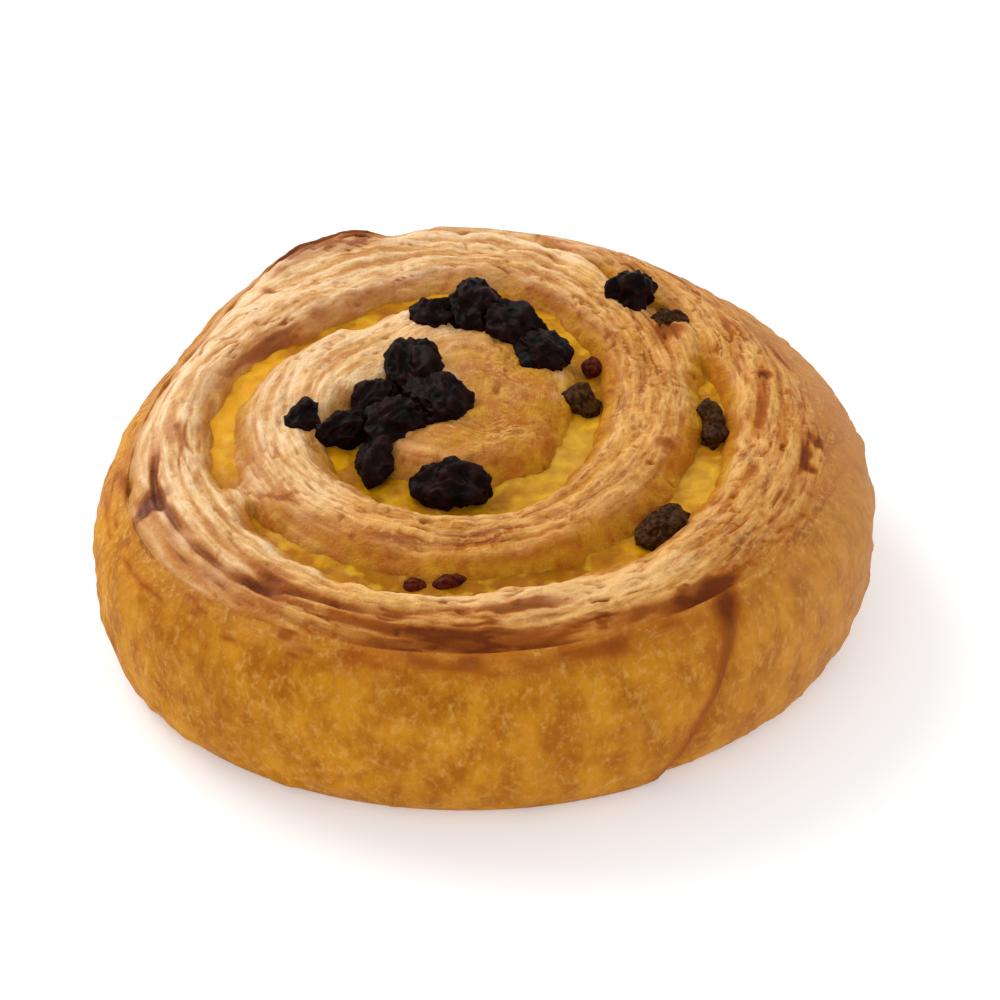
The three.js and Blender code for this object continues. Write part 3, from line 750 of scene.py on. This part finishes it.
    # both, and over them the toast with its painted shade: first orange brown, then dark brown
    browned_and_shaded = add(tree, "MapRange", {"Value": toast_and_shade, "From Max": 0.5, "To Max": 0.85})
    burnt = add(tree, "MapRange", {"Value": toast_and_shade, "From Min": 0.3, "From Max": 0.95, "To Max": 0.85})
    colour = "#a25a0c"
    for share, tint in ((drawn_out, "#d2963c"), (ruddy, "#b4622c"), (baked, "#883a0c"),
                        (orange, "#b8661a"), (crumbs, "#e8bc7c"), (dots, "#8a480e"),
                        (painted_sheen, "#dcaa70"), (edges, "#ecb66c"), (cream_and_sheen, "#f2d2a6"), (deep, soaked_and_shaded),
                        (wall, skin), (browned_and_shaded, "#a8560e"), (burnt, "#5e2408")):
        colour = add(tree, "Mix", {SHARE: share, UNDER: colour, OVER: tint}, **BLEND)

    # fine relief of the layer edges and the crumb, and the glaze on the side painted paler
    fine = add(tree, "Math", {0: strokes, 1: pale}, operation="MULTIPLY")
    lift = add(tree, "Math", {0: fine, 1: 0.4, 2: speck}, operation="MULTIPLY_ADD")
    normal = add(tree, "Bump", {"Height": lift, "Strength": 0.8, "Distance": 0.0007})
    glaze = add(tree, "Math", {0: side, 1: 0.3}, operation="MULTIPLY")
    surface = add(tree, "BsdfPrincipled", {
        "Base Color": colour, "Roughness": 0.55, "Normal": normal, "Specular IOR Level": 0.07,
        "Coat Weight": glaze, "Coat Roughness": 0.38, "Subsurface Weight": 0.12,
        "Subsurface Radius": (0.0022, 0.0011, 0.0005), "Subsurface Scale": 1.0})
    add(tree, "OutputMaterial", {"Surface": surface})
    return material


crust_points, crust_faces, crust_layers = crust_mesh()
crust = make_piece("crust", crust_points, crust_faces, crust_layers, weld=0.002)
crust.data.materials.append(baked_dough())
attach(crust, "root")
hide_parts("dough")

# ---- Custard --------------------------------------------------------------------------------------
# Pastry cream, spread on the strip before it is rolled, so it is a ribbon on edge that runs through
# the coil from top to base. Baked, its top has set smooth with a soft skin, a little sunken.
CUSTARD_SINK = 0.25
CUSTARD_SPILL = 1.3
CUSTARD_SLUMP = 0.5
CUSTARD_NECK = 2.5
RIBBON_STEP = 1.5
HOOK_STEP = 2.5
RIBBON_ACROSS = 22
RIBBON_FOOT = -0.03
# where the cream has stayed bright, where it has browned, along the front also painted shade, and
# where it is paler: x, y, reach
BRIGHT = ((-34.7, -3.3, 9), (-32, 8, 8))
BROWNED_AND_SHADED = ((6.5, -34.9, 10), (-6, -36, 6), (24, 3, 6), (-14, -34, 5))
LEMON = ((7.0, -11.2, 8), (14, -7, 5), (28.0, -14.0, 5))


def near_any(x, y, spots):
    return clip(sum(np.exp(-((x - a) ** 2 + (y - b) ** 2) / reach ** 2) for a, b, reach in spots))


def custard_mesh():
    """A ribbon along the coil: its top spills a little over the dough, its foot is at the base."""
    hook_angles = np.arange(HOOK_FROM, HOOK_TO, HOOK_STEP)
    coil_angles = np.arange(COIL_START, CUSTARD_END + 0.1, RIBBON_STEP)
    hook_half = CUSTARD_HALF_WIDTH + HOOK_EXTRA
    stations = [(HOOK_X, HOOK_Y, a, HOOK_RADIUS, hook_half) for a in hook_angles]
    stations += [(0, 0, a, spiral_radius(a), custard_half_width(a)) for a in coil_angles]
    x0, y0, angle, radius, half = (np.array(v, float)[:, None] for v in zip(*stations))
    side = np.linspace(-1, 1, RIBBON_ACROSS + 1)[None, :]

    def across(offset, height):
        x, y = x0 + (radius + offset) * cos(angle), y0 + (radius + offset) * sin(angle)
        return np.stack([x, y, np.full(offset.shape, height)], -1)

    spread = radius + side * (half + CUSTARD_SPILL)
    x, y = x0 + spread * cos(angle), y0 + spread * sin(angle)
    lumps = 0.4 * noise(x / 4.2, y / 4.2, 31) + 0.22 * noise(x / 1.6, y / 1.6, 32)
    top = CUSTARD_HEIGHT + 0.05 + 0.85 * rise_at(np.hypot(x, y))
    top = top - CUSTARD_SINK * (1 - side ** 2) + lumps
    top = top - CUSTARD_SLUMP * smooth((np.abs(side) - 0.85) / 0.15)
    neck = across(np.array([[-1.0, 1.0]]) * half, CUSTARD_HEIGHT - CUSTARD_NECK)
    foot = across(np.array([[1.0, 0.33, -0.33, -1.0]]) * half, RIBBON_FOOT)
    loop = np.concatenate([np.stack([x, y, top], -1), neck[:, 1:], foot, neck[:, :1]], 1)
    loop[..., 0] -= CENTRE_X
    loop[..., 1] -= CENTRE_Y
    rows, columns = loop.shape[:2]
    grid = np.arange(rows * columns).reshape(rows, columns)
    quads = woven(np.concatenate([grid, grid[:, :1]], 1))
    flat = loop.reshape(-1, 3)
    x, y = flat[:, 0] + CENTRE_X, flat[:, 1] + CENTRE_Y
    marks = np.stack([near_any(x, y, spots) for spots in (BRIGHT, BROWNED_AND_SHADED, LEMON)], -1)
    return flat, [*quads.tolist(), grid[0][::-1].tolist(), grid[-1].tolist()], {"marks": marks}


# Baked pastry cream: eggy mustard yellow, with a soft sheen on its skin and slightly see-through at
# the edge. It is bright on the left, paler in the middle, and browned in spots where it stood up,
# with painted shade along the front.
def pastry_cream():
    material, tree = new_material("baked_pastry_cream")
    place_m = add(tree, "TexCoord", out="Object")
    here = add(tree, "VectorMath", {0: place_m, "Scale": 1 / MM}, operation="SCALE")
    marks = add(tree, "Attribute", out="Vector", attribute_name="marks")
    bright, browned_and_shaded, lemon = add(tree, "SeparateXYZ", {0: marks}).node.outputs
    drift = add(tree, "TexNoise", {"Vector": here, "Scale": 0.11, "Detail": 2.0})
    clots = add(tree, "TexNoise", {"Vector": here, "Scale": 0.45, "Detail": 5.0})
    spots = add(tree, "TexNoise", {"Vector": here, "Scale": 0.25, "Detail": 4.0})
    yolk = add(tree, "MapRange", {"Value": drift, "From Min": 0.38, "From Max": 0.62})
    lemon = add(tree, "Math", {0: lemon, 1: 0.7}, operation="MULTIPLY")
    light = add(tree, "MapRange", {"Value": clots, "From Min": 0.52, "From Max": 0.66, "To Max": 0.6})
    kept = add(tree, "Math", {0: bright, 1: lemon}, operation="ADD")
    kept = add(tree, "Math", {0: kept, 1: -0.5, 2: 0.75}, operation="MULTIPLY_ADD")
    brown = add(tree, "MapRange", {"Value": spots, "From Min": 0.48, "From Max": 0.62, "To Max": kept})
    colour = "#ac7000"
    for share, tint in ((yolk, "#d2940a"), (browned_and_shaded, "#9c6200"), (bright, "#dc9a18"),
                        (lemon, "#d0a034"), (light, "#d8ac28"), (brown, "#965409")):
        colour = add(tree, "Mix", {SHARE: share, UNDER: colour, OVER: tint}, **BLEND)
    normal = add(tree, "Bump", {"Height": clots, "Strength": 0.6, "Distance": 0.0006})
    surface = add(tree, "BsdfPrincipled", {
        "Base Color": colour, "Roughness": 0.4, "Normal": normal, "Specular IOR Level": 0.06,
        "Coat Weight": 0.04, "Coat Roughness": 0.15, "Subsurface Weight": 0.2,
        "Subsurface Radius": (0.003, 0.0018, 0.0006), "Subsurface Scale": 1.0})
    add(tree, "OutputMaterial", {"Surface": surface})
    return material


custard = make_piece("custard_ribbon", *custard_mesh())
custard.data.materials.append(pastry_cream())
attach(custard, "root")
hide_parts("custard")

# ---- Raisins --------------------------------------------------------------------------------------
# Whole dried grapes that were strewn on the custard. Each takes its place and size from its solid and
# gets the deep folds of a dried skin, which puffs up a little in the oven and goes nearly black.
RAISIN_LEVELS = 3
SOLID_WELD = 0.01
FULL_LENGTH = 7.0
PUFF = 0.3
LUMP_DEPTH = 0.9
FOLD_DEPTH = 1.1
# those that have rubbed brown on the dough, and among them the small reddish ones; raisin 19 fills a
# groove that is in shade, its brown a painted shadow
BROWN_RAISINS = (13, 15, 16, 17, 18, 19, 20)
RED_RAISINS = (17, 18, 20)


def raisin_mesh(source, seed):
    """The node's shape, made finer and folded along its skin; a small one has shallower folds."""
    work = bpy.data.objects.new("raisin_work", source.data.copy())
    bpy.context.collection.objects.link(work)
    weld = work.modifiers.new("weld", "WELD")
    weld.merge_threshold = SOLID_WELD * MM
    finer = work.modifiers.new("finer", "SUBSURF")
    finer.levels = finer.render_levels = RAISIN_LEVELS
    done = bpy.data.meshes.new_from_object(work.evaluated_get(bpy.context.evaluated_depsgraph_get()))
    count = len(done.vertices)
    points, normals = np.empty(count * 3), np.empty(count * 3)
    done.vertices.foreach_get("co", points)
    done.vertex_normals.foreach_get("vector", normals)
    points, normals = points.reshape(-1, 3) / MM, normals.reshape(-1, 3)
    faces = [tuple(face.vertices) for face in done.polygons]
    bpy.data.objects.remove(work)
    bpy.data.meshes.remove(done)
    middle = points.mean(0)
    axes = np.linalg.svd(points - middle, full_matrices=False)[2]
    along, across, through = ((points - middle) @ axes.T).T
    size = clip(np.ptp(along) / FULL_LENGTH)
    lumps = noise(along / 3.4, across / 3.0, 90 + seed, through / 3.0)
    folds = ridges(along / 3.6, across / 1.9, 40 + seed, through / 1.9)
    creases = ridges(along / 1.5, across / 1.1, 70 + seed, through / 1.1)
    lift = 0.7 * folds + 0.3 * creases - 0.62
    moved = PUFF + LUMP_DEPTH * lumps + FOLD_DEPTH * lift
    red = np.full(len(lift), float(seed in RED_RAISINS))
    brown = np.full(len(lift), float(seed in BROWN_RAISINS))
    marks = np.stack([clip(0.5 + lift), red, brown], -1)
    return points + normals * (moved * size)[:, None], faces, {"marks": marks}


# Dried grape skin, waxy and wrinkled: nearly black with a plum and rust tinge, painted lighter on the
# raised folds and darker in the creases as light and shade, and small soft highlights.
def raisin_skin():
    material, tree = new_material("raisin_skin")
    place_m = add(tree, "TexCoord", out="Object")
    here = add(tree, "VectorMath", {0: place_m, "Scale": 1 / MM}, operation="SCALE")
    marks = add(tree, "Attribute", out="Vector", attribute_name="marks")
    folds, red, brown = add(tree, "SeparateXYZ", {0: marks}).node.outputs
    hue = add(tree, "TexNoise", {"Vector": here, "Scale": 0.28, "Detail": 2.0})
    fine = add(tree, "TexNoise", {"Vector": here, "Scale": 1.6, "Detail": 4.0})
    plum = add(tree, "MapRange", {"Value": hue, "From Min": 0.42, "From Max": 0.6})
    # painted light on the raised folds, leaving the creases dark as painted shade
    fold_crest_light = add(tree, "MapRange", {"Value": folds, "From Min": 0.5, "From Max": 0.9, "To Max": 0.5})
    worn = add(tree, "MapRange", {"Value": fine, "From Min": 0.4, "From Max": 0.62})
    brown_rub_and_shadow = add(tree, "Mix", {SHARE: worn, UNDER: "#241004", OVER: "#4c2c0c"}, **BLEND)
    rust = add(tree, "Mix", {SHARE: worn, UNDER: "#34100a", OVER: "#64240e"}, **BLEND)
    colour = "#080302"
    for share, tint in ((plum, "#180808"), (fold_crest_light, "#34140c"), (brown, brown_rub_and_shadow), (red, rust)):
        colour = add(tree, "Mix", {SHARE: share, UNDER: colour, OVER: tint}, **BLEND)
    normal = add(tree, "Bump", {"Height": fine, "Strength": 0.4, "Distance": 0.0003})
    surface = add(tree, "BsdfPrincipled", {
        "Base Color": colour, "Roughness": 0.5, "Normal": normal, "Specular IOR Level": 0.05})
    add(tree, "OutputMaterial", {"Surface": surface})
    return material


skin_of_raisin = raisin_skin()
for node_name in sorted(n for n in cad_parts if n.startswith("raisin_")):
    number = int(node_name.removeprefix("raisin_"))
    raisin = make_piece("folded_" + node_name, *raisin_mesh(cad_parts[node_name], number))
    raisin.data.materials.append(skin_of_raisin)
    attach(raisin, "root")
    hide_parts(node_name)

# ---- Floor, light and camera ----------------------------------------------------------------------
# A white light table under a large soft light from the back left, with white all round, as in a
# product picture. The camera looks down on the front of the pastry through a long lens.
FLOOR_HALF = 2000.0
FLOOR_HEIGHT = -0.05
ROOM_STRENGTH = 0.9
WINDOW_AT = (-0.55, 0.52, 0.68)
WINDOW_TOWARDS = (0, 0, 0.015)
WINDOW_WIDTH = 0.6
WINDOW_WATTS = 5.5
CAMERA_LENS = 100.0
CAMERA_SENSOR = 36.0
CAMERA_ELEVATION = 36.5
CAMERA_DISTANCE = 385.0
AIM = (2.77, 5.19, 7.02)

corners = ((-1, -1), (1, -1), (1, 1), (-1, 1))
floor_points = [(x * FLOOR_HALF, y * FLOOR_HALF, FLOOR_HEIGHT) for x, y in corners]
floor = make_piece("floor", floor_points, [(0, 1, 2, 3)])
floor_material, floor_tree = new_material("white_card")
card_surface = add(floor_tree, "BsdfPrincipled", {
    "Base Color": "#e4e4e4", "Roughness": 0.8, "Emission Color": "#fdfdff", "Emission Strength": 0.3})
add(floor_tree, "OutputMaterial", {"Surface": card_surface})
floor.data.materials.append(floor_material)

world = bpy.data.worlds.new("white_room")
world.use_nodes = True
background = world.node_tree.nodes["Background"]
background.inputs["Color"].default_value = to_linear("#ffffff")
background.inputs["Strength"].default_value = ROOM_STRENGTH
bpy.context.scene.world = world

window = bpy.data.lights.new("window_back_left", "AREA")
window.shape = "DISK"
window.size = WINDOW_WIDTH
window.energy = WINDOW_WATTS
window_stand = bpy.data.objects.new("window_back_left", window)
window_stand.location = WINDOW_AT
beam = Vector(WINDOW_TOWARDS) - window_stand.location
window_stand.rotation_euler = beam.to_track_quat("-Z", "Y").to_euler()
bpy.context.collection.objects.link(window_stand)

camera = bpy.data.objects.new("camera", bpy.data.cameras.new("camera"))
camera.data.lens = CAMERA_LENS
camera.data.sensor_width = CAMERA_SENSOR
camera.data.clip_start = 0.01
pitch = math.radians(CAMERA_ELEVATION)
camera.location = ((AIM[0] - CENTRE_X) * MM,
                   (AIM[1] - CENTRE_Y - CAMERA_DISTANCE * math.cos(pitch)) * MM,
                   (AIM[2] + CAMERA_DISTANCE * math.sin(pitch)) * MM)
camera.rotation_euler = (math.pi / 2 - pitch, 0, 0)
bpy.context.collection.objects.link(camera)
bpy.context.scene.camera = camera
bpy.context.scene.view_settings.view_transform = "Standard"
